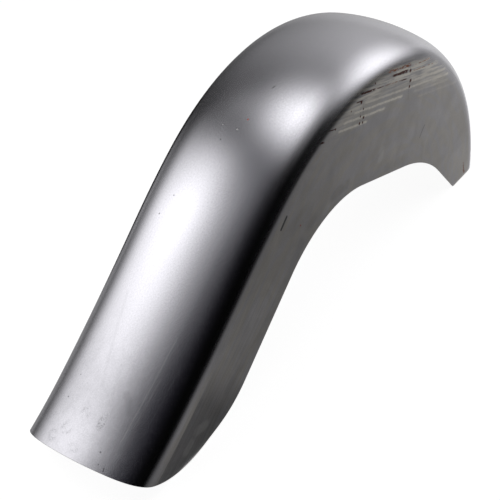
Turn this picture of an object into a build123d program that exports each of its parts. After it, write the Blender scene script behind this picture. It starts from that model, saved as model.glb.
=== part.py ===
"""Motorcycle rear fender: one pressed sheet of bare steel, crowned, with flat skirts, cut to a side outline.

Millimetres. X runs forward from the tail, Y to the left, Z up. The fender stands on its front rim and on the
bellies of its two skirts. The origin is on that level, at the middle of the length and of the width.
"""

import os
from math import asin, cos, degrees, radians, sin

from build123d import *

# Sheet and section: flat skirts, then shoulder, haunch and crown arcs, each tangent to the next
fender_width = 178.0
sheet_thickness = 1.6
shoulder_radius = 31.0
shoulder_turn = 59.5
haunch_radius = 72.0
haunch_turn = 19.0

# Shoulder line in side view, from the tail forward: two arcs that turn up, then three that turn over
tail_heading = 30.2
flip_radius = 516.0
flip_turn = 7.3
run_radius = 2400.0
run_turn = 5.2
ease_radius = 860.0
ease_turn = 6.8
rear_arch_radius = 293.0
rear_arch_turn = 43.5
front_arch_radius = 352.0

# Cut edge in side view: most corners are set by a distance along an arc and a depth square below it
tail_cut_slope = 36.2
belly_reach = 58.0
belly_radius = 136.0
knee_station = 63.0
knee_depth = 107.5
knee_radius = 129.0
brow_station = 46.0
brow_depth = 91.0
brow_radius = 172.0
shin_station = 285.0
shin_depth = 106.5
shin_radius = 267.0
rim_length = 50.0
toe_radius = 5.0

# Half of the crown turns by what the shoulder and the haunch leave of a right angle
crown_turn = 90.0 - shoulder_turn - haunch_turn
crown_edge = (
    fender_width / 2
    - shoulder_radius * (1 - cos(radians(shoulder_turn)))
    - haunch_radius * (cos(radians(shoulder_turn)) - sin(radians(crown_turn)))
)
crown_radius = crown_edge / sin(radians(crown_turn))
crown_rise = (
    shoulder_radius * sin(radians(shoulder_turn))
    + haunch_radius * (cos(radians(crown_turn)) - sin(radians(shoulder_turn)))
    + crown_radius * (1 - cos(radians(crown_turn)))
)

# The sheet is pressed deeper than any finished skirt and longer at both ends, and then cut
blank_depth = knee_depth + brow_depth
blank_margin = crown_rise


def direction(angle):
    """A unit step in side view, at an angle above the forward direction."""
    return Vector(cos(radians(angle)), 0, sin(radians(angle)))


def below(arc, station, depth):
    """The point at a distance along an arc of the shoulder line, and then square below it."""
    point = arc.position_at(station, PositionMode.LENGTH)
    heading = arc.tangent_at(station, PositionMode.LENGTH)
    return point + Vector(heading.Z, 0, -heading.X) * depth


# Shoulder line, drawn from the corner where the tail's cut meets it
with BuildLine(Plane.XZ) as shoulder_line:
    Line(direction(tail_heading) * -blank_margin, (0, 0))
    flip = JernArc((0, 0), direction(tail_heading), flip_radius, flip_turn)
    run = JernArc(flip @ 1, flip % 1, run_radius, run_turn)
    ease = JernArc(run @ 1, run % 1, ease_radius, -ease_turn)
    rear_arch = JernArc(ease @ 1, ease % 1, rear_arch_radius, -rear_arch_turn)

    # The belly's arc sits in the corner between the tail's cut and the line to the knee
    belly = direction(-tail_cut_slope) * belly_reach
    knee = below(run, knee_station, knee_depth)
    knee_direction = (knee - belly).normalized()
    belly_turn = knee_direction.get_angle(direction(-tail_cut_slope))
    belly_axis = (knee_direction - direction(-tail_cut_slope)).normalized()
    belly_centre = belly + belly_axis * (belly_radius / cos(radians(belly_turn / 2)))

    # The front rim is level with the lowest point of the bellies, and the front arch ends on it
    rim_level = belly_centre.Z - belly_radius
    top_heading = tail_heading + flip_turn + run_turn - ease_turn - rear_arch_turn
    front_centre_level = (rear_arch @ 1).Z - front_arch_radius * cos(radians(top_heading))
    rim_angle = degrees(asin((rim_level - front_centre_level) / front_arch_radius))
    front_arch_turn = top_heading + 90.0 - rim_angle
    front_arch = JernArc(rear_arch @ 1, rear_arch % 1, front_arch_radius, -front_arch_turn)
    Line(front_arch @ 1, front_arch @ 1 + front_arch % 1 * blank_margin)

# Section of the sheet, square to the start of the shoulder line, from the right skirt to the left
start_plane = Plane(shoulder_line.line @ 0, x_dir=(0, 1, 0), z_dir=shoulder_line.line % 0)
with BuildSketch(start_plane) as section:
    with BuildLine() as outside:
        skirt = Line((-fender_width / 2, -blank_depth), (-fender_width / 2, 0))
        shoulder = JernArc(skirt @ 1, skirt % 1, shoulder_radius, -shoulder_turn)
        haunch = JernArc(shoulder @ 1, shoulder % 1, haunch_radius, -haunch_turn)
        JernArc(haunch @ 1, haunch % 1, crown_radius, -crown_turn)
        mirror(about=Plane.YZ)
        offset(amount=sheet_thickness, side=Side.RIGHT)
    make_face()

# Side outline: the tail's cut, the lower edge of the skirts and the front rim, closed outside the crown
tail_out = direction(-tail_cut_slope) * (-2 * blank_margin)
toe = front_arch @ 1 - Vector(rim_length, 0, 0)
front_out = front_arch @ 1 + Vector(2 * blank_margin, 0, 0)
top_level = shoulder_line.line.bounding_box().max.Z + 2 * blank_margin
with BuildSketch(Plane.XZ) as side_outline:
    with BuildLine(Plane.XZ):
        FilletPolyline(
            tail_out,
            belly,
            knee,
            below(rear_arch, brow_station, brow_depth),
            below(front_arch, shin_station, shin_depth),
            toe,
            front_out,
            Vector(front_out.X, 0, top_level),
            Vector(tail_out.X, 0, top_level),
            radius=[0, belly_radius, knee_radius, brow_radius, shin_radius, toe_radius, 0, 0, 0],
            close=True,
        )
    make_face()

with BuildPart() as blank:
    add(section.sketch)
    sweep(path=shoulder_line.line)
    extrude(side_outline.sketch, amount=fender_width, both=True, mode=Mode.INTERSECT)

# Finished fender, standing on its rim and bellies, with the middle of its length at the origin
with BuildPart() as fender:
    with Locations((-blank.part.bounding_box().center().X, 0, -rim_level)):
        add(blank.part)

fender.part.label = "fender"
os.makedirs("parts", exist_ok=True)
export_step(fender.part, "parts/fender.step")
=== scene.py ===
from functools import reduce
from math import asin, cos, degrees, pi, radians, sin, tan
from types import SimpleNamespace

import bpy
import numpy as np
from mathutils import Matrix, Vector, kdtree
from mathutils.geometry import delaunay_2d_cdt


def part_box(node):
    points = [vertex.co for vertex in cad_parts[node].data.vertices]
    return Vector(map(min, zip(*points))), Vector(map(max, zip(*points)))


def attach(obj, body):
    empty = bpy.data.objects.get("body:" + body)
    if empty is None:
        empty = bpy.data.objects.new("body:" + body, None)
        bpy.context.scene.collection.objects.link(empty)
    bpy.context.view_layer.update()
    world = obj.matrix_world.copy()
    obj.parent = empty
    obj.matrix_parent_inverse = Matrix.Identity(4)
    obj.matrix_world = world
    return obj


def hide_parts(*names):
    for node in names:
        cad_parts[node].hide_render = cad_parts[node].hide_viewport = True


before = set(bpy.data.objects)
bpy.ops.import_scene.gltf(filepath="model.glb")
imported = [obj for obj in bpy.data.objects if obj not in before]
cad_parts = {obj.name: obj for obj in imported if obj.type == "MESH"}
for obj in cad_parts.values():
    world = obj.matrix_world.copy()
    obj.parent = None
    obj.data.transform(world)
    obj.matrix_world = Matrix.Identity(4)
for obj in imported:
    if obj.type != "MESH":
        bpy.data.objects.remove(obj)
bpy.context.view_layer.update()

MM = 0.001

# Sizes of the sheet and of its section, in millimetres and degrees
fender_width = 178.0
sheet_thickness = 1.6
shoulder_radius = 31.0
shoulder_turn = 59.5
haunch_radius = 72.0
haunch_turn = 19.0

# Arcs of the shoulder line in side view, from the tail forward: radius and turn, left turns positive
tail_heading = 30.2
flip_arc = (516.0, 7.3)
run_arc = (2400.0, 5.2)
ease_arc = (860.0, -6.8)
rear_arch_arc = (293.0, -43.5)
front_arch_radius = 352.0

# Cut edge in side view
tail_cut_slope = 36.2
belly_reach = 58.0
belly_radius = 136.0
knee_station = 63.0
knee_depth = 107.5
knee_radius = 129.0
brow_station = 46.0
brow_depth = 91.0
brow_radius = 172.0
shin_station = 285.0
shin_depth = 106.5
shin_radius = 267.0
rim_length = 50.0
toe_radius = 5.0

# The mesh: how far the joints of arcs are eased, and the spacing of its rows and columns
curve_step = 0.25
path_ease = 22.0
section_ease = 5.0
flat_margin = 14.0
row_spacing = 4.6
column_spacing = 3.8
edge_spacing = 0.9
edge_round = 0.3
lead = 70.0
spacing_growth = 1.25
edge_growth = 0.2
rim_clearance = 1.0
net_pitch = 1.2 * row_spacing
net_clearance = 0.6 * net_pitch
weld_distance = 1e-5
least_arc_points = 8

# Limits of the bake map: along the sheet, and across it for the outside, inside and cut edge
bake_length = (0.005, 0.995)
bake_outside = (0.005, 0.645)
bake_inside = (0.66, 0.965)
bake_cut = (0.975, 0.995)


def eased(values, reach):
    """Curvature smoothed twice, so that one arc flows into the next."""
    count = int(round(2 * reach / curve_step)) | 1
    kernel = np.ones(count) / count
    for _ in range(2):
        padded = np.pad(values, count // 2, mode="edge")
        values = np.convolve(padded, kernel, mode="valid")
    return values


def summed(values):
    """Running sums of values, starting at zero."""
    return np.concatenate(([0.0], np.cumsum(values)))


def trace(curvature, heading, start):
    """Points and headings along a plane curve of a given curvature."""
    angle = heading + summed(curvature) * curve_step
    middle = (angle[1:] + angle[:-1]) / 2
    steps = np.stack([np.cos(middle), np.sin(middle)])
    return np.stack([summed(step) * curve_step for step in steps], axis=1) + start, angle


def step_along(angle):
    """A unit step in side view, at an angle in degrees above forward."""
    return np.array([cos(radians(angle)), sin(radians(angle))])


def arc_end(point, heading, radius, turn):
    """Where an arc ends, and its heading there in degrees."""
    reach = radius if turn > 0 else -radius
    end_heading = heading + turn
    return point + (step_along(heading + 90) - step_along(end_heading + 90)) * reach, end_heading


def below_arc(point, heading, arc, station, depth):
    """The point at a distance along an arc, and then square below it."""
    radius, turn = arc
    foot, foot_heading = arc_end(point, heading, radius, np.sign(turn) * degrees(station / radius))
    return foot + step_along(foot_heading - 90) * depth


# Ends of the shoulder line's arcs
tail_corner = np.zeros(2)
flip_end, flip_heading = arc_end(tail_corner, tail_heading, *flip_arc)
run_end, run_heading = arc_end(flip_end, flip_heading, *run_arc)
ease_end, ease_heading = arc_end(run_end, run_heading, *ease_arc)
top_point, top_heading = arc_end(ease_end, ease_heading, *rear_arch_arc)

# Corners of the cut edge, and the level on which the bellies and the front rim stand
belly = step_along(-tail_cut_slope) * belly_reach
knee = below_arc(flip_end, flip_heading, run_arc, knee_station, knee_depth)
knee_step = knee - belly
knee_slope = degrees(np.arctan2(knee_step[1], knee_step[0]))
belly_turn = knee_slope + tail_cut_slope
belly_axis = step_along((knee_slope - tail_cut_slope) / 2 + 90)
belly_centre = belly + belly_axis * (belly_radius / cos(radians(belly_turn / 2)))
rim_level = belly_centre[1] - belly_radius
front_centre_level = top_point[1] - front_arch_radius * cos(radians(top_heading))
rim_angle = degrees(asin((rim_level - front_centre_level) / front_arch_radius))
front_arch_arc = (front_arch_radius, -(top_heading + 90 - rim_angle))
front_end = arc_end(top_point, top_heading, *front_arch_arc)[0]
brow = below_arc(ease_end, ease_heading, rear_arch_arc, brow_station, brow_depth)
shin = below_arc(top_point, top_heading, front_arch_arc, shin_station, shin_depth)
toe = front_end - np.array([rim_length, 0.0])


def shoulder_curve():
    """Stations, points and headings of the shoulder line, with straight leads at both ends."""
    curvature = []
    for radius, turn in ((1.0, 0.0), flip_arc, run_arc, ease_arc, rear_arch_arc, front_arch_arc, (1.0, 0.0)):
        length = radius * radians(abs(turn)) if turn else lead
        bend = np.sign(turn) / radius
        curvature.append(np.full(int(round(length / curve_step)), bend))
    curvature = eased(np.concatenate(curvature), path_ease)
    points, angle = trace(curvature, radians(tail_heading), -step_along(tail_heading) * lead)
    station = np.arange(len(points)) * curve_step - lead
    # The eased line is brought back to the true ends, spread evenly over its length
    length = station[-1] - lead
    share = np.clip(station / length, 0.0, 1.0)[:, None]
    start_gap = points[np.searchsorted(station, 0.0)]
    end_gap = points[np.searchsorted(station, length)] - front_end
    return station, points - start_gap * (1 - share) - end_gap * share, angle


def section_curve():
    """Half of the section from the middle of the crown: distance along it and out, rise and lean."""
    shoulder = radians(shoulder_turn)
    haunch = radians(haunch_turn)
    crown = radians(90 - shoulder_turn - haunch_turn)
    crown_edge = (
        fender_width / 2
        - shoulder_radius * (1 - cos(shoulder))
        - haunch_radius * (cos(shoulder) - sin(crown))
    )
    crown_radius = crown_edge / sin(crown)
    crown_rise = (
        shoulder_radius * sin(shoulder)
        + haunch_radius * (cos(crown) - sin(shoulder))
        + crown_radius * (1 - cos(crown))
    )
    arcs = ((crown_radius, crown), (haunch_radius, haunch), (shoulder_radius, shoulder))
    bends = [np.full(int(round(radius * turn / curve_step)), -1 / radius) for radius, turn in arcs]
    curved = sum(len(bend) for bend in bends)
    flat = int(round((flat_margin + 2 * section_ease) / curve_step))
    half = np.concatenate(bends + [np.zeros(flat)])
    whole = eased(np.concatenate([half[::-1], half]), section_ease)
    half = whole[len(whole) // 2:]
    half *= radians(90) / abs(half.sum() * curve_step)
    points, angle = trace(half, 0.0, (0.0, crown_rise))
    distance = np.arange(len(points)) * curve_step
    out = points[:, 0] * (fender_width / 2) / points[-1, 0]
    keep = int(round(curved + flat_margin / curve_step))
    return distance[:keep], out[:keep], points[:keep, 1], -angle[:keep]


def unit(step):
    """A step of length one."""
    return step / np.linalg.norm(step)


def filleted(corners, radii):
    """Points along a line with rounded corners, and where each corner's middle is."""
    points = [corners[0]]
    middles = []
    for k in range(1, len(corners) - 1):
        before = unit(corners[k - 1] - corners[k])
        after = unit(corners[k + 1] - corners[k])
        opening = np.arccos(np.clip(before @ after, -1, 1))
        reach = radii[k - 1] / np.tan(opening / 2)
        centre = corners[k] + unit(before + after) * radii[k - 1] / np.sin(opening / 2)
        first = corners[k] + before * reach - centre
        last = corners[k] + after * reach - centre
        turn = np.arctan2(first[0] * last[1] - first[1] * last[0], first @ last)
        count = max(least_arc_points, int(abs(turn) * radii[k - 1] / curve_step))
        angles = np.linspace(0, turn, count)
        wide = first[0] * np.cos(angles) - first[1] * np.sin(angles)
        tall = first[0] * np.sin(angles) + first[1] * np.cos(angles)
        middles.append(sum(len(p) if p.ndim == 2 else 1 for p in points) + count // 2)
        points.append(centre + np.stack([wide, tall], axis=1))
    points.append(corners[-1])
    return np.vstack(points), middles


def squares_to(angle):
    """Unit steps square to headings in radians."""
    return np.stack([-np.sin(angle), np.cos(angle)], axis=1)


def lengths(points):
    """Distance along a line of points."""
    return summed(np.linalg.norm(np.diff(points, axis=0), axis=1))


def between(at, distance, points):
    """Points of a plane line at the given distances along it."""
    return np.stack([np.interp(at, distance, points[:, k]) for k in range(2)], axis=1)


def point_tree(points):
    """A search tree of points in side view."""
    tree = kdtree.KDTree(len(points))
    for k, point in enumerate(points):
        tree.insert((*point, 0), k)
    tree.balance()
    return tree


def graded(length, spacing, fine):
    """Shares of a length from 0 to 1, closely spaced at both ends."""
    steps = [fine]
    while steps[-1] < spacing:
        steps.append(steps[-1] * spacing_growth)
    ramp = np.array(steps[:-1])
    middle = length - 2 * ramp.sum()
    count = int(np.ceil(middle / spacing))
    return summed(np.concatenate([ramp, np.full(count, middle / count), ramp[::-1]])) / length


# The outside of the sheet as one grid: rows from tail to front rim, columns from right to left
station, path_points, path_angle = shoulder_curve()
path_square = squares_to(path_angle)
line_length = station[-1] - lead
section_distance, *section_shape = section_curve()
row_share = graded(line_length, row_spacing, edge_spacing)
rows = len(row_share)

shoulder_reach = section_distance[-1] - flat_margin
half_columns = int(np.ceil(section_distance[-1] / column_spacing))
band_distance = np.linspace(-1, 1, 2 * half_columns + 1) * section_distance[-1]
band_out, band_rise, band_lean = (
    np.interp(abs(band_distance), section_distance, values) for values in section_shape
)
band_out *= np.sign(band_distance)
band_lean *= np.sign(band_distance)


def inside_tail(points):
    """How far points lie inside the tail's cut."""
    cut = step_along(-tail_cut_slope)
    arc_start = belly - cut * (belly_radius * tan(radians(belly_turn / 2)))
    straight = (points - arc_start) @ np.array([-cut[1], cut[0]])
    round_part = belly_radius - np.linalg.norm(points - belly_centre, axis=1)
    return np.where((points - arc_start) @ cut < 0, straight, round_part)


def band_column(rise):
    """Stations, points and squares at one height over the shoulder line, from cut to rim."""
    curve = path_points + rise * path_square
    early = station < lead
    first = np.interp(0.0, inside_tail(curve[early]), station[early])
    late = station > line_length - 2 * lead
    last = np.interp(-rim_level, -curve[late, 1], station[late])
    stations = first + row_share * (last - first)
    squares = squares_to(np.interp(stations, station, path_angle))
    return stations, between(stations, station, curve), squares


band_columns = [band_column(rise) for rise in band_rise]
band_station, band_side, squares = (np.stack(values, axis=1) for values in zip(*band_columns))
band_normal = np.zeros((*band_station.shape, 3))
band_normal[..., 0::2] = squares * np.cos(band_lean)[:, None]
band_normal[..., 1] = np.sin(band_lean)

# Cut edge in side view from the front rim back to the tail, closely spaced round the toe
edge_line, edge_middles = filleted(
    [-belly, belly, knee, brow, shin, toe, front_end],
    [belly_radius, knee_radius, brow_radius, shin_radius, toe_radius],
)
band_edge = band_side[:, 0]
toe_middle = edge_line[edge_middles[-1]]
beyond_tail = (edge_line[:, 0] > band_edge[0, 0]) | (edge_line[:, 1] < band_edge[0, 1])
before_rim = (edge_line[:, 0] < band_edge[-1, 0]) | (edge_line[:, 1] > rim_level + rim_clearance)
edge_line = edge_line[beyond_tail & before_rim]
edge_line = np.vstack([band_edge[0], edge_line, band_edge[-1]])[::-1]


def edge_points():
    """Points along the cut edge without its ends, closest round the toe."""
    distance = lengths(edge_line)
    toe_distance = distance[np.linalg.norm(edge_line - toe_middle, axis=1).argmin()]
    stops = [0.0]
    while stops[-1] < distance[-1]:
        past_toe = abs(stops[-1] - toe_distance) - toe_radius
        step = np.clip(edge_spacing + edge_growth * past_toe, edge_spacing, row_spacing)
        stops.append(stops[-1] + step)
    stops = np.array(stops[1:]) * distance[-1] / stops[-1]
    return between(stops[:-1], distance, edge_line)


def within(points, outline):
    """Which points lie inside a closed outline."""
    inside = np.zeros(len(points), bool)
    for (x0, z0), (x1, z1) in zip(outline, np.roll(outline, -1, axis=0)):
        crosses = (z0 > points[:, 1]) != (z1 > points[:, 1])
        if crosses.any():
            reach = x0 + (points[:, 1] - z0) / (z1 - z0 if z1 != z0 else 1.0) * (x1 - x0)
            inside ^= crosses & (points[:, 0] < reach)
    return inside


def skirt_net(cut_edge):
    """A skirt's side view in triangles, with even points inside its outline."""
    outline = np.vstack([band_edge, cut_edge])
    low = outline.min(axis=0)
    high = outline.max(axis=0)
    wide = np.arange(low[0], high[0], net_pitch)
    tall = np.arange(low[1], high[1], net_pitch * sin(pi / 3))
    inner = np.array([(x + (k % 2) * net_pitch / 2, z) for k, z in enumerate(tall) for x in wide])
    inner = inner[within(inner, outline)]
    tree = point_tree(outline)
    inner = np.array([point for point in inner if tree.find((*point, 0))[2] > net_clearance])
    corners = [Vector(point) for point in np.vstack([outline, inner])]
    loop = list(range(len(outline)))
    found = delaunay_2d_cdt(corners, [], [loop], 1, weld_distance)
    if len(found[0]) != len(corners):
        raise RuntimeError("the skirt's net has gained or lost points")
    sources = [source[0] for source in found[3]]
    triangles = np.array([[sources[k] for k in face] for face in found[2]])
    return inner, triangles


cut_edge = edge_points()
skirt_inner, skirt_triangles = skirt_net(cut_edge)
skirt_extra = np.vstack([cut_edge, skirt_inner])


def sheet_place(side_points):
    """Distances along the shoulder line, and depths below it."""
    tree = point_tree(path_points)
    feet = [tree.find((*point, 0)) for point in side_points]
    return np.array([station[foot[1]] for foot in feet]), np.array([foot[2] for foot in feet])


def fender_mesh():
    """The sheet as one closed mesh, with a rounded cut edge."""
    band_count = band_station.size
    extra = len(skirt_extra)
    outside = np.zeros((band_count + 2 * extra, 3))
    normals = np.zeros_like(outside)
    places = np.ones_like(outside)
    outside[:band_count, 0::2] = band_side.reshape(-1, 2)
    outside[:band_count, 1] = np.tile(band_out, rows)
    normals[:band_count] = band_normal.reshape(-1, 3)
    places[:band_count, 0] = band_station.ravel()
    places[:band_count, 1] = np.tile(band_distance, rows)
    extra_along, extra_depth = sheet_place(skirt_extra)
    for hand, first in ((-1, band_count), (1, band_count + extra)):
        skirt = slice(first, first + extra)
        outside[skirt, 0::2] = skirt_extra
        outside[skirt, 1] = hand * fender_width / 2
        normals[skirt, 1] = hand
        places[skirt, 0] = extra_along
        places[skirt, 1] = hand * (shoulder_reach + extra_depth)

    grid = np.arange(band_count).reshape(band_station.shape)
    right_edge = band_count + np.arange(len(cut_edge))
    left_edge = right_edge + extra
    loop = np.concatenate([grid[0], left_edge[::-1], grid[-1, ::-1], right_edge])
    rim = outside[loop]
    rim_normal = normals[loop]
    tangent = np.roll(rim, -1, axis=0) - np.roll(rim, 1, axis=0)
    away = np.cross(tangent, rim_normal)
    away /= np.linalg.norm(away, axis=1)[:, None]
    if away[half_columns, 0] > 0:
        away = -away

    front = outside.copy()
    front[loop] -= away * edge_round
    back = front - normals * sheet_thickness
    diagonal = cos(pi / 4)
    sunk = edge_round * (1 - diagonal)
    ring_shapes = (
        (-sunk, sunk, diagonal, diagonal),
        (0.0, edge_round, 1.0, 0.0),
        (0.0, sheet_thickness - edge_round, 1.0, 0.0),
        (-sunk, sheet_thickness - sunk, diagonal, -diagonal),
    )
    rings = [rim + away * shift - rim_normal * depth for shift, depth, _, _ in ring_shapes]
    ring_normals = [away * out + rim_normal * up for _, _, out, up in ring_shapes]

    quads = np.stack([grid[:-1, :-1], grid[1:, :-1], grid[1:, 1:], grid[:-1, 1:]], axis=-1).reshape(-1, 4)
    faces = outward(front, normals, quads)
    for column, first in ((0, band_count), (-1, band_count + extra)):
        index = np.concatenate([grid[:, column], first + np.arange(extra)])
        faces += outward(front, normals, index[skirt_triangles])
    shift = len(outside)
    faces += [[k + shift for k in face[::-1]] for face in faces]

    loops = [loop]
    loops += [2 * shift + k * len(loop) + np.arange(len(loop)) for k in range(len(rings))]
    loops += [loop + shift]
    points = np.vstack([front, back] + rings)
    point_normals = np.vstack([normals, -normals] + ring_normals)
    for upper, lower in zip(loops[:-1], loops[1:]):
        quads = np.stack([upper, np.roll(upper, -1), np.roll(lower, -1), lower], axis=-1)
        faces += outward(points, point_normals, quads)
    ring_place = places[loop] * (1, 1, 0)
    places = np.vstack([places, places * (1, 1, -1)] + [ring_place] * len(rings))
    return points, point_normals, faces, places, loops


def outward(points, normals, faces):
    """The faces, all turned so that they face along their normals."""
    first, second, third = (points[faces[:, k]] for k in range(3))
    facing = (np.cross(second - first, third - first) * normals[faces].mean(axis=1)).sum()
    return (faces[:, ::-1] if facing < 0 else faces).tolist()


def stretched(values, low, high):
    """Values spread evenly from a low to a high limit."""
    return low + (values - values.min()) / np.ptp(values) * (high - low)


def bake_corners(points, places, loops, corner_point, corner_face):
    """Places on the bake map: outside, inside and cut edge lie side by side."""
    wide = stretched(places[:, 0], *bake_length)
    outside = stretched(places[:, 1], *bake_outside)
    inside = stretched(places[:, 1], *bake_inside)
    sheet_map = np.stack([wide, np.where(places[:, 2] > 0, outside, inside)], axis=1)
    round_edge = np.concatenate([loops[0], loops[0][:1]])
    edge_share = stretched(lengths(points[round_edge]), *bake_length)
    edge_map = np.zeros_like(sheet_map)
    for loop, level in zip(loops, np.linspace(*bake_cut, len(loops))):
        edge_map[loop, 0] = edge_share[:-1]
        edge_map[loop, 1] = level
    levels = np.zeros(corner_face.max() + 1)
    np.add.at(levels, corner_face, places[corner_point, 2])
    counts = np.bincount(corner_face)
    on_edge = (abs(levels) < counts - 0.5)[corner_face]
    corners = np.where(on_edge[:, None], edge_map[corner_point], sheet_map[corner_point])
    # The face that closes the cut edge ends where the strip ends
    furthest = np.zeros(len(counts))
    np.maximum.at(furthest, corner_face, corners[:, 0])
    closing = on_edge & (furthest[corner_face] - corners[:, 0] > 0.5)
    corners[closing, 0] = edge_share[-1]
    return corners


def to_frame(points):
    """Millimetres to metres in the part's own frame, fitted into the solid's box."""
    low, high = (np.array(corner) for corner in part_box("fender"))
    own_low = points.min(axis=0)
    return low + (points - own_low) / np.ptp(points, axis=0) * (high - low)


def read_all(items, name):
    """One whole number of every item."""
    values = np.zeros(len(items), int)
    items.foreach_get(name, values)
    return values


points, point_normals, faces, places, loops = fender_mesh()
points = to_frame(points)
mesh = bpy.data.meshes.new("fender_sheet")
mesh.from_pydata(points.tolist(), [], faces)
mesh.validate()
place_attribute = mesh.attributes.new("sheet", "FLOAT_VECTOR", "POINT")
place_attribute.data.foreach_set("vector", places.astype(np.float32).ravel())
corner_point = read_all(mesh.loops, "vertex_index")
face_sizes = read_all(mesh.polygons, "loop_total")
corner_face = np.repeat(np.arange(len(face_sizes)), face_sizes)
bake_map = mesh.uv_layers.new(name="OFBake")
corners = bake_corners(points, places, loops, corner_point, corner_face)
bake_map.data.foreach_set("uv", corners.astype(np.float32).ravel())
for polygon in mesh.polygons:
    polygon.use_smooth = True
mesh.normals_split_custom_set_from_vertices(point_normals.tolist())
sheet = bpy.data.objects.new("fender_sheet", mesh)
bpy.context.scene.collection.objects.link(sheet)

# Numbers and vectors that nodes work out at every point of a surface


class Value:
    """A number worked out by nodes. Sums and products with it make Math nodes."""

    def __init__(self, socket):
        self.socket = socket

    def math(self, operation, second=0.0, third=0.0):
        """What one Math node gives."""
        node = add_node(self, "Math", operation=operation, in_0=self, in_1=second, in_2=third)
        return Value(node.outputs[0])

    def __add__(self, other):
        return self.math("ADD", other)

    def __sub__(self, other):
        return self.math("SUBTRACT", other)

    def __rsub__(self, other):
        return self.math("MULTIPLY_ADD", -1.0, other)

    def __mul__(self, other):
        return self.math("MULTIPLY", other)

    def __abs__(self):
        return self.math("ABSOLUTE")

    def line(self, gain, base):
        """The value times a gain, plus a base."""
        return self.math("MULTIPLY_ADD", gain, base)

    def rise(self, low, high, shape="SMOOTHSTEP"):
        """0 at the low end, 1 at the high end, and a step between them."""
        node = add_node(self, "MapRange", interpolation_type=shape, in_0=self, in_1=low, in_2=high)
        return Value(node.outputs[0])


def feed(socket, value):
    """Link a value, a colour or a shader to a node's input, or set the input to a constant."""
    if isinstance(value, Value):
        value = value.socket
    if isinstance(value, bpy.types.NodeSocket):
        socket.id_data.links.new(value, socket)
    else:
        socket.default_value = value


def add_node(near, kind, **settings):
    """A new shader node in the tree of a socket or value: properties by name, inputs as in_0 and so on."""
    tree = near.socket.id_data if isinstance(near, Value) else near.id_data
    node = tree.nodes.new("ShaderNode" + kind)
    for name, value in settings.items():
        if name.startswith("in_"):
            feed(node.inputs[int(name[3:])], value)
        else:
            setattr(node, name, value)
    return node


def highest(values):
    """The highest of several values."""
    return reduce(lambda one, other: one.math("MAXIMUM", other), values)


def vector(operation, first, second):
    """The vector that a Vector Math node gives."""
    return add_node(first, "VectorMath", operation=operation, in_0=first, in_1=second).outputs["Vector"]


def measure(operation, first, second=(0.0, 0.0, 0.0)):
    """The number that a Vector Math node gives."""
    node = add_node(first, "VectorMath", operation=operation, in_0=first, in_1=second)
    return Value(node.outputs["Value"])


def scaled(first, share):
    """A vector or a colour times a number."""
    return add_node(share, "VectorMath", operation="SCALE", in_0=first, in_3=share).outputs[0]


def split(place):
    """The three numbers of a vector."""
    return [Value(socket) for socket in add_node(place, "SeparateXYZ", in_0=place).outputs]


def noise(place, size, detail=2.0, distortion=0.0):
    """Noise from 0 to 1, with the size of its lumps along each axis."""
    shrunk = vector("MULTIPLY", place, tuple(1 / length for length in size))
    node = add_node(place, "TexNoise", in_0=shrunk)
    for name, value in (("Scale", 1.0), ("Detail", detail), ("Distortion", distortion)):
        feed(node.inputs[name], value)
    return Value(node.outputs[0])


def swing(value, gain):
    """Noise about a half, turned into a swing about zero."""
    return value.line(gain, -gain / 2)


def tone(place, size, gain, *details):
    """Noise that swings about zero."""
    return swing(noise(place, size, *details), gain)


def patches(place, size, levels, *details):
    """Patches where noise rises from one level to another."""
    return noise(place, size, *details).rise(*levels)


def blend(share, below, above):
    """One colour laid over another."""
    return add_node(share, "Mix", data_type="RGBA", in_0=share, in_6=below, in_7=above).outputs[2]


def blank_surface(holder, kind):
    """The surface input of a material or a world whose node tree is otherwise empty."""
    holder.use_nodes = True
    holder.node_tree.nodes.clear()
    return add_node(holder.node_tree, kind).inputs["Surface"]


def blank_material(name, owner):
    """The surface input of an object's new material."""
    material = bpy.data.materials.new(name)
    owner.data.materials.append(material)
    return blank_surface(material, "OutputMaterial")


def feed_both(surface, *shaders):
    """Add two shaders together for a surface."""
    one, other = (shader.outputs[0] for shader in shaders)
    feed(surface, add_node(surface, "AddShader", in_0=one, in_1=other).outputs[0])


# Bare steel: smooth over the crown, duller on the skirts and the inside
steel_colour = (0.557, 0.55, 0.584, 1)
oily_colour = (0.43, 0.425, 0.42, 1)
cut_colour = (0.48, 0.47, 0.46, 1)
crown_roughness = 0.27
shoulder_roughness = 0.2
skirt_roughness = 0.38
inside_roughness = 0.46
cut_roughness = 0.5

# Where faces, the shoulder and the skirts start and end, by the sign of a face or across the sheet
face_levels = (0.4, 0.6)
shoulder_start = (78.0, 88.0)
shoulder_end = (97.0, 91.0)
skirt_start = (-12.0, 6.0)
right_skirt_start = (-20.0, -13.0)

# Noise is given by the size of its lumps, its gain or the levels of its patches, its detail and distortion
# Grain of the rolled sheet, clouds, and fine drawing lines along the crown
grain_size = (2.1, 2.1, 1.0)
grain_tone = 0.27
grain_height = 0.0004
clouds = ((38.0, 26.0, 1.0), 0.06, 3.0)
tail_clouds = ((17.0, 12.0, 1.0), 0.2, 3.0, 1.0)
tail_cloud_fade = (200.0, 110.0)
drawing_lines = ((130.0, 0.7, 1.0), 3.0)
line_tone = 0.06
line_rough = 0.015
line_height = 0.0001

# Wiping smears on the skirts fan out from a point above the front; near the tail they run along the sheet
smear_centre = (400.0, 0.0, 760.0)
smear_radius = 650.0
smears = ((12.0, 20.0, 200.0), 0.12, 2.0, 1.6)
blotches = ((45.0, 60.0, 200.0), 0.28, 1.0, 1.6)
tail_streaks = ((80.0, 3.4, 1.0), 0.5, 3.0, 0.8)
tail_streak_fade = (330.0, 230.0)

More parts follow.
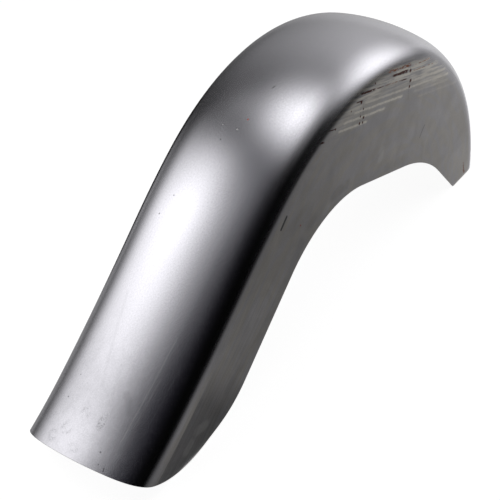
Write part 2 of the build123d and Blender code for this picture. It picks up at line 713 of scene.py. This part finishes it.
# Painted warm reflection on the skirts: long patches of a colour warmer than the clean steel, standing in
# for warmer light that the skirts reflect
painted_warm_reflection_colour = (0.57, 0.545, 0.52, 1)
painted_warm_reflection_patches = ((70.0, 15.0, 1.0), (0.38, 0.62), 3.0, 1.0)
painted_warm_reflection_least = 0.35

# Press line below the right shoulder, from the tail up: under it the skirt turns in a little, and its colour
# is darker, painted shade for the object's shadow on the floor that it reflects
press_line_drop = 10.0
press_line_fade = (170.0, 100.0)
press_line_softness = 0.8
press_line_slope = 0.1
press_line_painted_shade = 0.3
# Below the press line there is less of the painted warm reflection, by this share
press_line_less_warm_reflection = 0.5

# Rub lines left by packing on the upper right skirt: they are parallel and run down towards the front
rub_slope = -18.3
wobble = ((18.0, 40.0, 40.0), 2.4)
jitter = ((3.5, 40.0, 40.0), 0.7)
line_past_end = 2.0
line_before_end = 5.0
pale_half_width = 0.95
pale_softness = 1.2
halo_softness = 4.5
halo_strength = 0.3
worn_patches = ((5.0, 40.0, 16.0), (0.34, 0.58))
worn_least = 0.6
pale_lines = (  # height square to the lines, first and last place along them, strength
    (284.6, -98, -20, 1.0),
    (294.0, -88, 26, 1.0),
    (303.2, -65, 74, 1.0),
    (312.3, -40, 215, 0.72),
    (321.5, 89, 202, 0.8),
    (303.4, 104, 218, 0.22),
    (293.8, 123, 253, 0.16),
    (344.0, 88, 145, 0.7),
    (335.6, 84, 174, 0.36),
    (341.8, 38, 72, 1.0),
    (333.2, 34, 84, 0.9),
    (330.6, 12, 60, 0.6),
)
rust_lines = (  # height square to the lines, first and last place along them, half width
    (338.2, 27, 62, 1.4),
    (338.4, 46, 73, 1.8),
    (327.2, -55, -16, 1.1),
    (327.5, -12, 4, 0.4),
    (327.0, 56, 74, 0.6),
    (317.0, -64, -45, 0.6),
    (290.5, -124, -106, 0.4),
    (277.1, -140, -129, 1.0),
)
fresh_rust_lines = (
    (345.2, 13, 80, 1.1),
    (345.8, 57, 79, 1.9),
    (344.4, 86, 142, 0.1),
    (336.3, 80, 153, 0.1),
    (327.6, -16, 56, 0.1),
)
rust_dots = (  # place forward, place up, radius
    (181.7, 295.3, 2.3),
    (183.9, 278.7, 2.3),
    (182.3, 270.1, 1.9),
    (58.3, 301.9, 1.1),
    (59.6, 288.1, 1.7),
    (51.6, 294.1, 1.2),
    (49.9, 284.3, 1.8),
    (57.7, 281.6, 1.4),
    (52.2, 314.8, 2.0),
    (87.2, 324.4, 1.0),
    (27.6, 314.7, 0.8),
    (-10.4, 309.0, 1.2),
)
rust_columns = (  # place forward, lowest and highest point
    (57.8, 280, 308),
    (50.4, 283, 307),
    (181.0, 250, 304),
)
column_half_width = 0.4
column_softness = 0.8
column_strength = 0.3
column_patches = ((30.0, 30.0, 3.0), (0.4, 0.6))
rust_patches = ((5.5, 5.5, 2.2), (0.28, 0.42), 3.0)
fresh_patches = ((6.5, 6.5, 2.6), (0.4, 0.56), 3.0)
rust_height = 0.05
rust_dull = 0.06
rub_colour = (1.0, 0.955, 0.88, 1)
rust_colour = (0.09, 0.009, 0.002, 1)
fresh_rust_colour = (0.42, 0.14, 0.06, 1)

# Pale film between the rub lines and the shoulder, partly a warm film and partly painted light that lifts
# the skirt where the shoulder's dark reflection reaches down: its ends along the sheet and edges past the
# shoulder
painted_light_film_start = (455.0, 560.0)
painted_light_film_end = (850.0, 770.0)
painted_light_film_top = (-16.0, -7.0)
painted_light_film_bottom = (36.0, 2.0)
painted_light_film_patches = ((40.0, 14.0, 3.2), (0.34, 0.66), 4.0)
painted_light_film_strength = 0.9

# Small marks, in millimetres along the sheet and across it to the left: place and radius
least_square = 1e-6
fine_softness = 0.5
small_softness = 0.6
dot_softness = 0.7
red_dots = ((441.0, -5.0, 0.8),)
pale_dots = ((425.6, 0.2, 0.5), (425.4, 22.0, 0.1))
dark_dots = (
    (408.3, 13.6, 0.6),
    (302.0, 45.3, 0.6),
    (328.2, 36.9, 0.5),
    (51.0, 49.2, 0.6),
    (82.6, 47.7, 0.35),
    (6.6, -27.8, 0.7),
    (-7.9, -33.2, 0.4),
)
dark_scratches = (  # both ends along and across, half width
    ((488.9, -7.1), (492.6, -8.1), 0.25),
    ((-8.5, -41.5), (-12.5, -42.6), 0.25),
)
dark_strength = 0.75
pale_scratches = (
    ((173.0, -49.2), (29.0, -43.9), 0.2),
    ((142.0, -68.2), (47.0, -64.6), 0.2),
    ((120.0, -53.0), (52.0, -50.0), 0.1),
)
pale_scratch_strength = 0.3
# Crease and curl: dark lines painted into the colour, painted shade where slight dents in the sheet turn the
# reflection
crease = ((197.7, 38.4), (155.8, 30.4), (100.0, 17.2), (82.0, 11.5), (73.7, -0.9))
crease_shape = (0.4, 3.0, 0.07)  # half width, softness, strength
curl = ((84.0, -23.3), (79.0, -29.0), (67.0, -35.5))
curl_shape = (1.0, 7.0, 0.16)
dirt_colour = (0.08, 0.08, 0.085, 1)
fleck_colour = (0.9, 0.9, 0.88, 1)
red_colour = (0.5, 0.1, 0.08, 1)
dirt_rough = 0.3

# Finger marks near the tail: speckled ovals, darkest in a ring
finger_prints = (  # place along and across, half length, half width, strength
    (42.4, 15.3, 11.0, 9.0, 0.8),
    (41.4, -10.5, 16.0, 7.0, 1.4),
    (14.6, 28.9, 13.0, 11.0, 0.75),
    (-1.0, 42.0, 12.0, 9.0, 0.8),
    (-3.5, 7.0, 9.0, 12.0, 0.6),
)
print_middle = 0.45
print_ring = (0.15, 0.5)
print_edge = (1.0, 0.45)
print_speckle = ((1.7, 1.7, 1.0), (0.4, 0.62), 3.0)
print_patches = ((7.0, 7.0, 1.0), (0.36, 0.58), 2.0, 1.0)
print_strength = 0.5
print_rough = 0.06
print_and_painted_shade_colour = (0.2, 0.2, 0.21, 1)

# Marks on the right skirt, in millimetres forward and up
skirt_scratches = (  # both ends, half width
    ((-120.5, 242.4), (-132.0, 231.0), 2.0),
    ((238.5, 177.5), (231.0, 170.5), 0.35),
    ((231.0, 170.5), (226.0, 163.0), 0.3),
)
skirt_scratch_strength = 0.9
skirt_red_dots = ((-87.4, 208.5, 1.0),)
corner_rust = (((383.0, 28.0), (385.5, 16.0), 0.5), ((386.0, 15.0), (389.5, 7.0), 1.3))
corner_softness = 1.2
corner_patches = ((3.0, 3.0, 3.0), (0.36, 0.56))
pale_smudges = (  # both ends, half width, strength
    ((-316.0, 38.6), (-299.0, 35.2), 4.0, 0.3),
    ((-338.0, 23.5), (-329.0, 28.5), 4.0, 0.28),
    ((113.5, 194.0), (115.0, 204.0), 3.5, 0.26),
    ((-30.0, 192.0), (-22.0, 196.5), 2.0, 0.14),
    ((-112.0, 174.6), (-104.0, 178.0), 1.5, 0.16),
    ((150.0, 184.0), (150.0, 190.0), 4.0, 0.08),
)
dark_smudges = (
    ((-8.5, 206.0), (24.0, 204.0), 4.0, 0.24),
    ((-112.0, 147.0), (-84.0, 178.0), 5.0, 0.2),
    ((-172.0, 96.0), (-113.0, 145.0), 4.0, 0.2),
    ((-250.0, 56.0), (-172.0, 96.0), 4.0, 0.16),
    ((-64.0, 194.0), (-54.0, 199.0), 4.0, 0.15),
    ((132.3, 167.1), (172.5, 155.2), 3.0, 0.12),
)
smudge_softness = 7.0
smudge_patches = ((24.0, 24.0, 18.0), (0.2, 0.55))


def sheet_places(surface):
    """Where a point lies: distances on the sheet, its face, and flat places for marks."""
    place = SimpleNamespace()
    sheet_vector = add_node(surface, "Attribute", attribute_name="sheet").outputs["Vector"]
    place.run, place.across, face = split(sheet_vector)
    place.reach = abs(place.across)
    place.past_shoulder = place.reach - shoulder_reach
    place.flat = vector("MULTIPLY", sheet_vector, (1, 1, 0))
    own = add_node(surface, "TexCoord").outputs["Object"]
    place.spot = vector("MULTIPLY", own, (1 / MM, 0, 1 / MM))
    place.outside = face.rise(*face_levels)
    place.inside = face.rise(*(-level for level in face_levels))
    place.cut = 1.0 - place.outside - place.inside
    place.skirt = place.past_shoulder.rise(*skirt_start)
    place.shoulder = place.reach.rise(*shoulder_start) * place.reach.rise(*shoulder_end) * place.outside
    place.crown = (1.0 - place.skirt) * place.outside
    past_right = -shoulder_reach - place.across
    place.right_skirt = past_right.rise(*right_skirt_start) * place.outside
    return place


def streak(place, start, end, half_width, softness):
    """How much of one straight mark with round ends covers a place."""
    axis = end - start
    reach = vector("SUBTRACT", place, start)
    share = measure("DOT_PRODUCT", reach, axis / max(axis @ axis, least_square))
    share = share.math("MAXIMUM", 0.0).math("MINIMUM", 1.0)
    gap = measure("LENGTH", vector("SUBTRACT", reach, scaled(axis, share)))
    return gap.rise(half_width + softness, half_width)


def scratches(place, lines, softness, axis):
    """How much of several straight marks covers a place; axis is that of their second numbers."""
    covers = []
    for start, end, half_width, *strength in lines:
        ends = np.zeros((2, 3))
        ends[:, (0, axis)] = start, end
        cover = streak(place, *ends, half_width, softness)
        covers.append(cover * strength[0] if strength else cover)
    return highest(covers)


def spots(place, dots, softness, axis):
    """How much of several round marks covers a place."""
    return scratches(place, [(dot[:2], dot[:2], dot[2]) for dot in dots], softness, axis)


def fold(place, points, half_width, softness, strength):
    """How much of a soft mark through points covers a place."""
    lines = [(start, end, half_width) for start, end in zip(points[:-1], points[1:])]
    return scratches(place, lines, softness, 1) * strength


def rub_places(place):
    """Places along the rub lines, and square to them with a slight wobble."""
    turned = SimpleNamespace()
    node = add_node(place.spot, "VectorRotate", rotation_type="Y_AXIS", in_0=place.spot)
    feed(node.inputs["Angle"], radians(rub_slope))
    turned.point = node.outputs[0]
    turned.ahead, _, height = split(turned.point)
    turned.height = height + tone(turned.point, *wobble) + tone(turned.point, *jitter)
    return turned


def line_cover(turned, line, half_width, softness):
    """The cover of one rub line, with soft ends."""
    level, first, last = line[:3]
    wide = abs(turned.height - level).rise(half_width + softness, half_width)
    from_middle = abs(turned.ahead - (first + last) / 2)
    half_length = (last - first) / 2
    return wide * from_middle.rise(half_length + line_past_end, half_length - line_before_end)


def pale_film_and_painted_light(place, turned):
    """Pale film along the rub lines, and a fainter haze up to the shoulder that is partly painted light."""
    worn = patches(turned.point, *worn_patches).line(1 - worn_least, worn_least)
    pale, halo = (
        highest(line_cover(turned, line, pale_half_width, softness) * line[3] for line in pale_lines) * worn
        for softness in (pale_softness, halo_softness)
    )
    # Painted light: a pale film that lifts the skirt just below the shoulder
    painted_light_film = (
        place.run.rise(*painted_light_film_start)
        * place.run.rise(*painted_light_film_end)
        * place.past_shoulder.rise(*painted_light_film_top)
        * place.past_shoulder.rise(*painted_light_film_bottom)
        * patches(turned.point, *painted_light_film_patches)
        * painted_light_film_strength
    )
    return pale, highest((halo * halo_strength, painted_light_film))


def rub_rust(place, turned):
    """Dark rust along the rub lines and the columns, and fresh brown rust."""
    dashes = highest(line_cover(turned, line, line[3], small_softness) for line in rust_lines)
    dots = spots(place.spot, rust_dots, dot_softness, 2)
    columns = [((forward, low), (forward, high), column_half_width) for forward, low, high in rust_columns]
    columns = scratches(place.spot, columns, column_softness, 2) * patches(place.spot, *column_patches)
    fresh = highest(line_cover(turned, line, line[3], dot_softness) for line in fresh_rust_lines)
    rust = highest((dashes * patches(turned.point, *rust_patches), dots, columns * column_strength))
    return rust, fresh * patches(turned.point, *fresh_patches)


def skirt_tone(place):
    """How much lighter or darker the wiping smears make the skirts."""
    from_centre = vector("SUBTRACT", place.spot, smear_centre)
    ahead, _, above = split(from_centre)
    bearing = ahead.math("ARCTAN2", above * -1.0)
    distance = measure("LENGTH", from_centre)
    node = add_node(distance, "CombineXYZ", in_0=bearing * smear_radius, in_1=distance, in_2=place.across)
    fan = node.outputs[0]
    tail_share = place.run.rise(*tail_streak_fade)
    along_tail = tone(place.flat, *tail_streaks) * tail_share
    return tone(fan, *smears) * (1.0 - tail_share) + along_tail + tone(fan, *blotches)


def print_cover(place):
    """How much the finger marks cover."""
    covers = []
    for run, across, half_length, half_width, strength in finger_prints:
        offset = vector("SUBTRACT", place.flat, (run, across, 0))
        away = measure("LENGTH", vector("MULTIPLY", offset, (1 / half_length, 1 / half_width, 0)))
        ring = away.rise(*print_ring).line(1 - print_middle, print_middle)
        covers.append(ring * away.rise(*print_edge) * strength)
    speckled = patches(place.flat, *print_speckle) * patches(place.flat, *print_patches)
    return highest(covers) * speckled * place.outside


def marked(place, colour):
    """A colour with the marks over it in their order, among them painted shade along the crease and the curl
    and painted light in the haze; and the finger marks, rust and dirt.
    """
    flat = place.flat
    spot = place.spot
    outside = place.outside
    right = place.right_skirt
    # Painted shade along the crease and the curl
    painted_fold_shade = highest((fold(flat, crease, *crease_shape), fold(flat, curl, *curl_shape))) * outside
    dots = spots(flat, dark_dots, dot_softness, 1)
    dark = highest((dots, scratches(flat, dark_scratches, small_softness, 1))) * outside
    shine = scratches(flat, pale_scratches, fine_softness, 1) * pale_scratch_strength * outside
    white = spots(flat, pale_dots, small_softness, 1) * outside
    red = spots(flat, red_dots, small_softness, 1) * outside
    red = highest((red, spots(spot, skirt_red_dots, fine_softness, 2) * right))
    prints = print_cover(place)
    turned = rub_places(place)
    pale, haze_and_painted_light = (cover * right for cover in pale_film_and_painted_light(place, turned))
    rust, fresh = (cover * right for cover in rub_rust(place, turned))
    corner = scratches(spot, corner_rust, corner_softness, 2) * patches(spot, *corner_patches) * right
    scored = scratches(spot, skirt_scratches, fine_softness, 2) * right
    uneven = patches(spot, *smudge_patches) * right
    layers = (
        (prints * print_strength, print_and_painted_shade_colour),
        (painted_fold_shade, print_and_painted_shade_colour),
        (scratches(spot, dark_smudges, smudge_softness, 2) * uneven, print_and_painted_shade_colour),
        (shine, fleck_colour),
        (scratches(spot, pale_smudges, smudge_softness, 2) * uneven, fleck_colour),
        # The haze: partly pale film, partly painted light below the shoulder
        (haze_and_painted_light, rub_colour),
        (pale, rub_colour),
        (dark * dark_strength, dirt_colour),
        (scored * skirt_scratch_strength, dirt_colour),
        (white, fleck_colour),
        (red, red_colour),
        (fresh, fresh_rust_colour),
        (corner, fresh_rust_colour),
        (rust, rust_colour),
    )
    for cover, layer_colour in layers:
        colour = blend(cover, colour, layer_colour)
    return colour, prints, rust, highest((rust * rust_dull, fresh, corner, red, white))


def bare_steel():
    """The sheet's material, with its marks."""
    surface = blank_material("bare_steel", sheet)
    shader = add_node(surface, "BsdfPrincipled")
    feed(surface, shader.outputs[0])
    place = sheet_places(surface)
    grain = noise(place.flat, grain_size)
    lines = noise(place.flat, *drawing_lines)

    # Press line near the tail, with painted shade below it
    below_line = -(shoulder_reach + press_line_drop) - place.across
    press_share = place.run.rise(*press_line_fade) * place.outside
    press = below_line.rise(-press_line_softness, press_line_softness) * press_share

    # Colour of the clean metal, with painted shade below the press line, and the marks over it
    tail_cloud = tone(place.flat, *tail_clouds) * place.run.rise(*tail_cloud_fade) * place.crown
    tone_and_painted_shade = (
        press.line(-press_line_painted_shade, 1.0)
        + skirt_tone(place) * place.skirt
        + tone(place.flat, *clouds)
        + tail_cloud
        + swing(grain, grain_tone)
        + swing(lines, line_tone) * place.crown
    )
    colour = blend(place.inside, steel_colour, oily_colour)
    colour = blend(place.cut, colour, cut_colour)
    # Painted warm reflection: long patches of a warmer colour on the outside of the skirts, weaker below the
    # press line
    painted_warm_reflection = patches(place.flat, *painted_warm_reflection_patches).line(1 - painted_warm_reflection_least, painted_warm_reflection_least)
    painted_warm_reflection = painted_warm_reflection * place.skirt * place.outside * press.line(-press_line_less_warm_reflection, 1.0)
    colour = blend(painted_warm_reflection, colour, painted_warm_reflection_colour)
    colour, prints, rust, dirt = marked(place, scaled(colour, tone_and_painted_shade))
    feed(shader.inputs["Base Color"], colour)

    # Metal shows where no dirt covers it, and dirt is rougher
    feed(shader.inputs["Metallic"], 1.0 - dirt)
    rough = (
        place.skirt.line(skirt_roughness - crown_roughness, crown_roughness)
        + place.shoulder * (shoulder_roughness - crown_roughness)
        + place.inside * (inside_roughness - crown_roughness)
        + place.cut * (cut_roughness - crown_roughness)
        + swing(lines, line_rough)
        + prints * print_rough
        + dirt * dirt_rough
    )
    feed(shader.inputs["Roughness"], rough)

    # Relief: the press line's turn, fine drawing lines, grain, and rust standing up a little
    relief = (
        below_line.math("MAXIMUM", 0.0) * -press_line_slope * press_share
        + lines * place.crown * line_height
        + grain * grain_height
        + rust * rust_height
    )
    bump = add_node(surface, "Bump")
    for name, value in (("Strength", 1.0), ("Distance", MM), ("Height", relief)):
        feed(bump.inputs[name], value)
    feed(shader.inputs["Normal"], bump.outputs[0])


bare_steel()
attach(sheet, "root")
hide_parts("fender")

# Floor: pale and matt, lifted to white for the camera and in reflections, with the object's shadow on it
floor_reach = 12.0
floor_range = (-floor_reach, floor_reach)
floor_lift = 0.93
floor_colour = (0.25, 0.25, 0.25, 1)

# Dark cards on the floor, seen only in reflections: grey beside the object and black further out
card_gap = 0.0006
side_reach = fender_width / 2 * MM + card_gap

# Right card: paler towards the front; its black edge runs out from the tail, and so does a shade beside it
right_grey = 0.178
right_front = 0.15
right_front_gain = 0.47
right_brightest = 0.425
tail_place = -0.34
edge_at_tail = -0.182
edge_spread = -0.85
edge_furthest = -0.46
edge_softness = 0.1
shade_at_tail = -0.113
shade_spread = -0.274
shade_softness = 0.015
shade_depth = 0.7
shade_forward = (-0.08, -0.28)
right_tail_gain = 0.55
far_bearings = (radians(-50.0), radians(-10.0))
far_share = 0.35
strip_forward = (0.3, 0.46)
strip_inward = (-0.15, -0.09)
strip_gain = 0.12

# Front card
front_card_start = 0.46
front_grey = 0.74

# Left card: its grey changes with the bearing from the middle and from a point near the tail
left_front_grey = 0.82
left_front_bearings = (radians(60.0), radians(5.0))
left_tail_grey = 0.33
left_tail_x = -0.2
left_tail_bearings = (radians(66.0), radians(84.0))


def stage_object(name, corners, unseen_by=()):
    """A flat face of the stage, and the kinds of rays that pass it by."""
    face_mesh = bpy.data.meshes.new(name)
    face_mesh.from_pydata(corners, [], [tuple(range(len(corners)))])
    face = bpy.data.objects.new(name, face_mesh)
    bpy.context.scene.collection.objects.link(face)
    for rays in unseen_by:
        setattr(face, "visible_" + rays, False)
    return face


def level_corners(x_range, y_range, z):
    """The corners of a rectangle that lies level."""
    return [(x_range[i], y_range[j], z) for i, j in ((0, 0), (1, 0), (1, 1), (0, 1))]


def pale_floor():
    """The floor."""
    floor = stage_object("floor", level_corners(floor_range, floor_range, 0.0))
    surface = blank_material("pale_floor", floor)
    paths = add_node(surface, "LightPath").outputs
    seen = Value(paths["Is Camera Ray"]) + paths["Is Glossy Ray"] + paths["Is Transmission Ray"]
    lift = add_node(surface, "Emission", in_1=seen * floor_lift)
    feed_both(surface, lift, add_node(surface, "BsdfDiffuse", in_0=floor_colour))


def dark_card(name, x_range, y_range):
    """A card that only reflections see: the input for its brightness, and x and y."""
    unseen_by = ("camera", "diffuse", "shadow", "transmission")
    card = stage_object(name, level_corners(x_range, y_range, card_gap), unseen_by)
    surface = blank_material(name, card)
    x, y, _ = split(add_node(surface, "NewGeometry").outputs["Position"])
    light = add_node(surface, "Emission")
    feed(surface, light.outputs[0])
    return light.inputs["Strength"], x, y


def right_card():
    """The card on the right."""
    strength, x, y = dark_card("right_card", floor_range, (-floor_reach, -side_reach))
    from_front = (x - right_front).math("MAXIMUM", 0.0)
    level = from_front.line(right_front_gain, right_grey).math("MINIMUM", right_brightest)
    from_tail = x - tail_place
    near_tail = x.rise(*shade_forward)
    shade_edge = from_tail.line(shade_spread, shade_at_tail)
    shaded = (y - shade_edge).rise(-shade_softness, shade_softness) * near_tail
    level = level * near_tail.line(right_tail_gain, 1.0) * shaded.line(-shade_depth, 1.0)
    black_edge = from_tail.line(edge_spread, edge_at_tail).math("MAXIMUM", edge_furthest)
    lit = (y - black_edge).rise(-edge_softness, edge_softness)
    far = y.math("ARCTAN2", x).rise(*far_bearings) * far_share
    strip = x.rise(*strip_forward) * y.rise(*strip_inward)
    feed(strength, strip.line(strip_gain, level) * highest((lit, far)))


def left_card():
    """The card on the left."""
    strength, x, y = dark_card("left_card", floor_range, (side_reach, floor_reach))
    front = y.math("ARCTAN2", x).rise(*left_front_bearings, "LINEAR") * left_front_grey
    near_tail = y.math("ARCTAN2", x - left_tail_x).rise(*left_tail_bearings)
    feed(strength, near_tail.line(left_tail_grey, front))


def front_card():
    """The card ahead of the front rim, between the other two."""
    strength = dark_card("front_card", (front_card_start, floor_reach), (-side_reach, side_reach))[0]
    feed(strength, front_grey)


pale_floor()
right_card()
left_card()
front_card()

# Soft lamps: round panels, brightest in the middle, that face the object
lamp_aim = Vector((0.0, 0.0, 0.2))
lamp_segments = 48
lamp_cutoff = 50.0
lamps = {  # azimuth and elevation seen from the object, distance, sharpness, strength
    "overhead": (32.5, 80.0, 3.28, 32.6, 2.04),
    "front_right": (-22.4, 25.9, 2.60, 14.1, 1.86),
    "left_back": (143.0, 41.5, 1.00, 27.9, 1.56),
    "front_low": (-34.1, 12.5, 1.09, 48.0, 0.44),
    "left_back_low": (132.2, 27.7, 0.86, 11.8, 1.5),
    "back": (185.8, 49.3, 0.75, 18.1, 0.23),
    "left_low": (89.8, 3.4, 1.00, 56.4, 0.27),
    "right_top": (-74.3, 71.6, 0.75, 28.1, 1.62),
    "left_top": (85.1, 59.2, 1.00, 96.0, 0.27),
    "ahead_low": (14.6, 11.8, 1.00, 40.0, 0.2),
    "right_middle": (-71.7, 44.7, 1.00, 40.0, 0.24),
}


def heading(azimuth, elevation):
    """A unit vector from an azimuth, from forward to the left, and an elevation in degrees."""
    level = cos(radians(elevation))
    turn = radians(azimuth)
    return Vector((level * cos(turn), level * sin(turn), sin(radians(elevation))))


def soft_lamp(name, azimuth, elevation, distance, sharpness, strength):
    """A round panel whose light falls off smoothly from its middle."""
    reach = distance * (2 * np.log(lamp_cutoff) / sharpness) ** 0.5
    turns = [2 * pi * k / lamp_segments for k in range(lamp_segments)]
    corners = [(reach * cos(turn), reach * sin(turn), 0) for turn in turns]
    panel = stage_object(name, corners, ("camera", "shadow"))
    direction = heading(azimuth, elevation)
    panel.location = lamp_aim + direction * distance
    panel.rotation_mode = "QUATERNION"
    panel.rotation_quaternion = direction.to_track_quat("Z", "Y")
    surface = blank_material(name, panel)
    local = add_node(surface, "TexCoord").outputs["Object"]
    fall = measure("DOT_PRODUCT", local, local) * (-sharpness / (2 * distance ** 2))
    facing = add_node(surface, "NewGeometry").outputs["Backfacing"]
    light = add_node(surface, "Emission", in_1=fall.math("EXPONENT") * facing * strength)
    feed_both(surface, light, add_node(surface, "BsdfTransparent"))


for name, values in lamps.items():
    soft_lamp("lamp_" + name, *values)

# World: dark, with a broad soft glow from the front and a faint blue one from above, behind
world_base = 0.001
white_glow = (heading(14.8, 25.4), 5.94, 0.536)
blue_glow = (heading(180.0, 62.0), 6.0, 0.014)
white_colour = (1.0, 1.0, 1.0, 1)
blue_colour = (0.25, 0.25, 1.0, 1)


def glow_level(around, middle, sharpness, strength):
    """How bright a glow is in each direction."""
    return measure("DOT_PRODUCT", around, middle).line(sharpness, -sharpness).math("EXPONENT") * strength


def studio_world():
    """The world's light."""
    world = bpy.data.worlds.new("studio")
    surface = blank_surface(world, "OutputWorld")
    around = add_node(surface, "TexCoord").outputs["Generated"]
    white_level = glow_level(around, *white_glow) + world_base
    white = add_node(surface, "Background", in_0=white_colour, in_1=white_level)
    blue = add_node(surface, "Background", in_0=blue_colour, in_1=glow_level(around, *blue_glow))
    feed_both(surface, white, blue)
    return world


bpy.context.scene.world = studio_world()

# Camera at the photograph's angle
camera_target = Vector((-0.06742, 0.0, 0.11683))
camera_distance = 1.97457
camera_forward = Vector((0.6496, 0.4352, -0.6234)).normalized()
camera_data = bpy.data.cameras.new("camera")
camera_data.sensor_width = 36.0
camera_data.lens = 108.0
camera = bpy.data.objects.new("camera", camera_data)
camera.location = camera_target - camera_forward * camera_distance
camera.rotation_mode = "QUATERNION"
camera.rotation_quaternion = camera_forward.to_track_quat("-Z", "Y")
bpy.context.scene.collection.objects.link(camera)
bpy.context.scene.camera = camera

bpy.context.scene.view_settings.view_transform = "Standard"
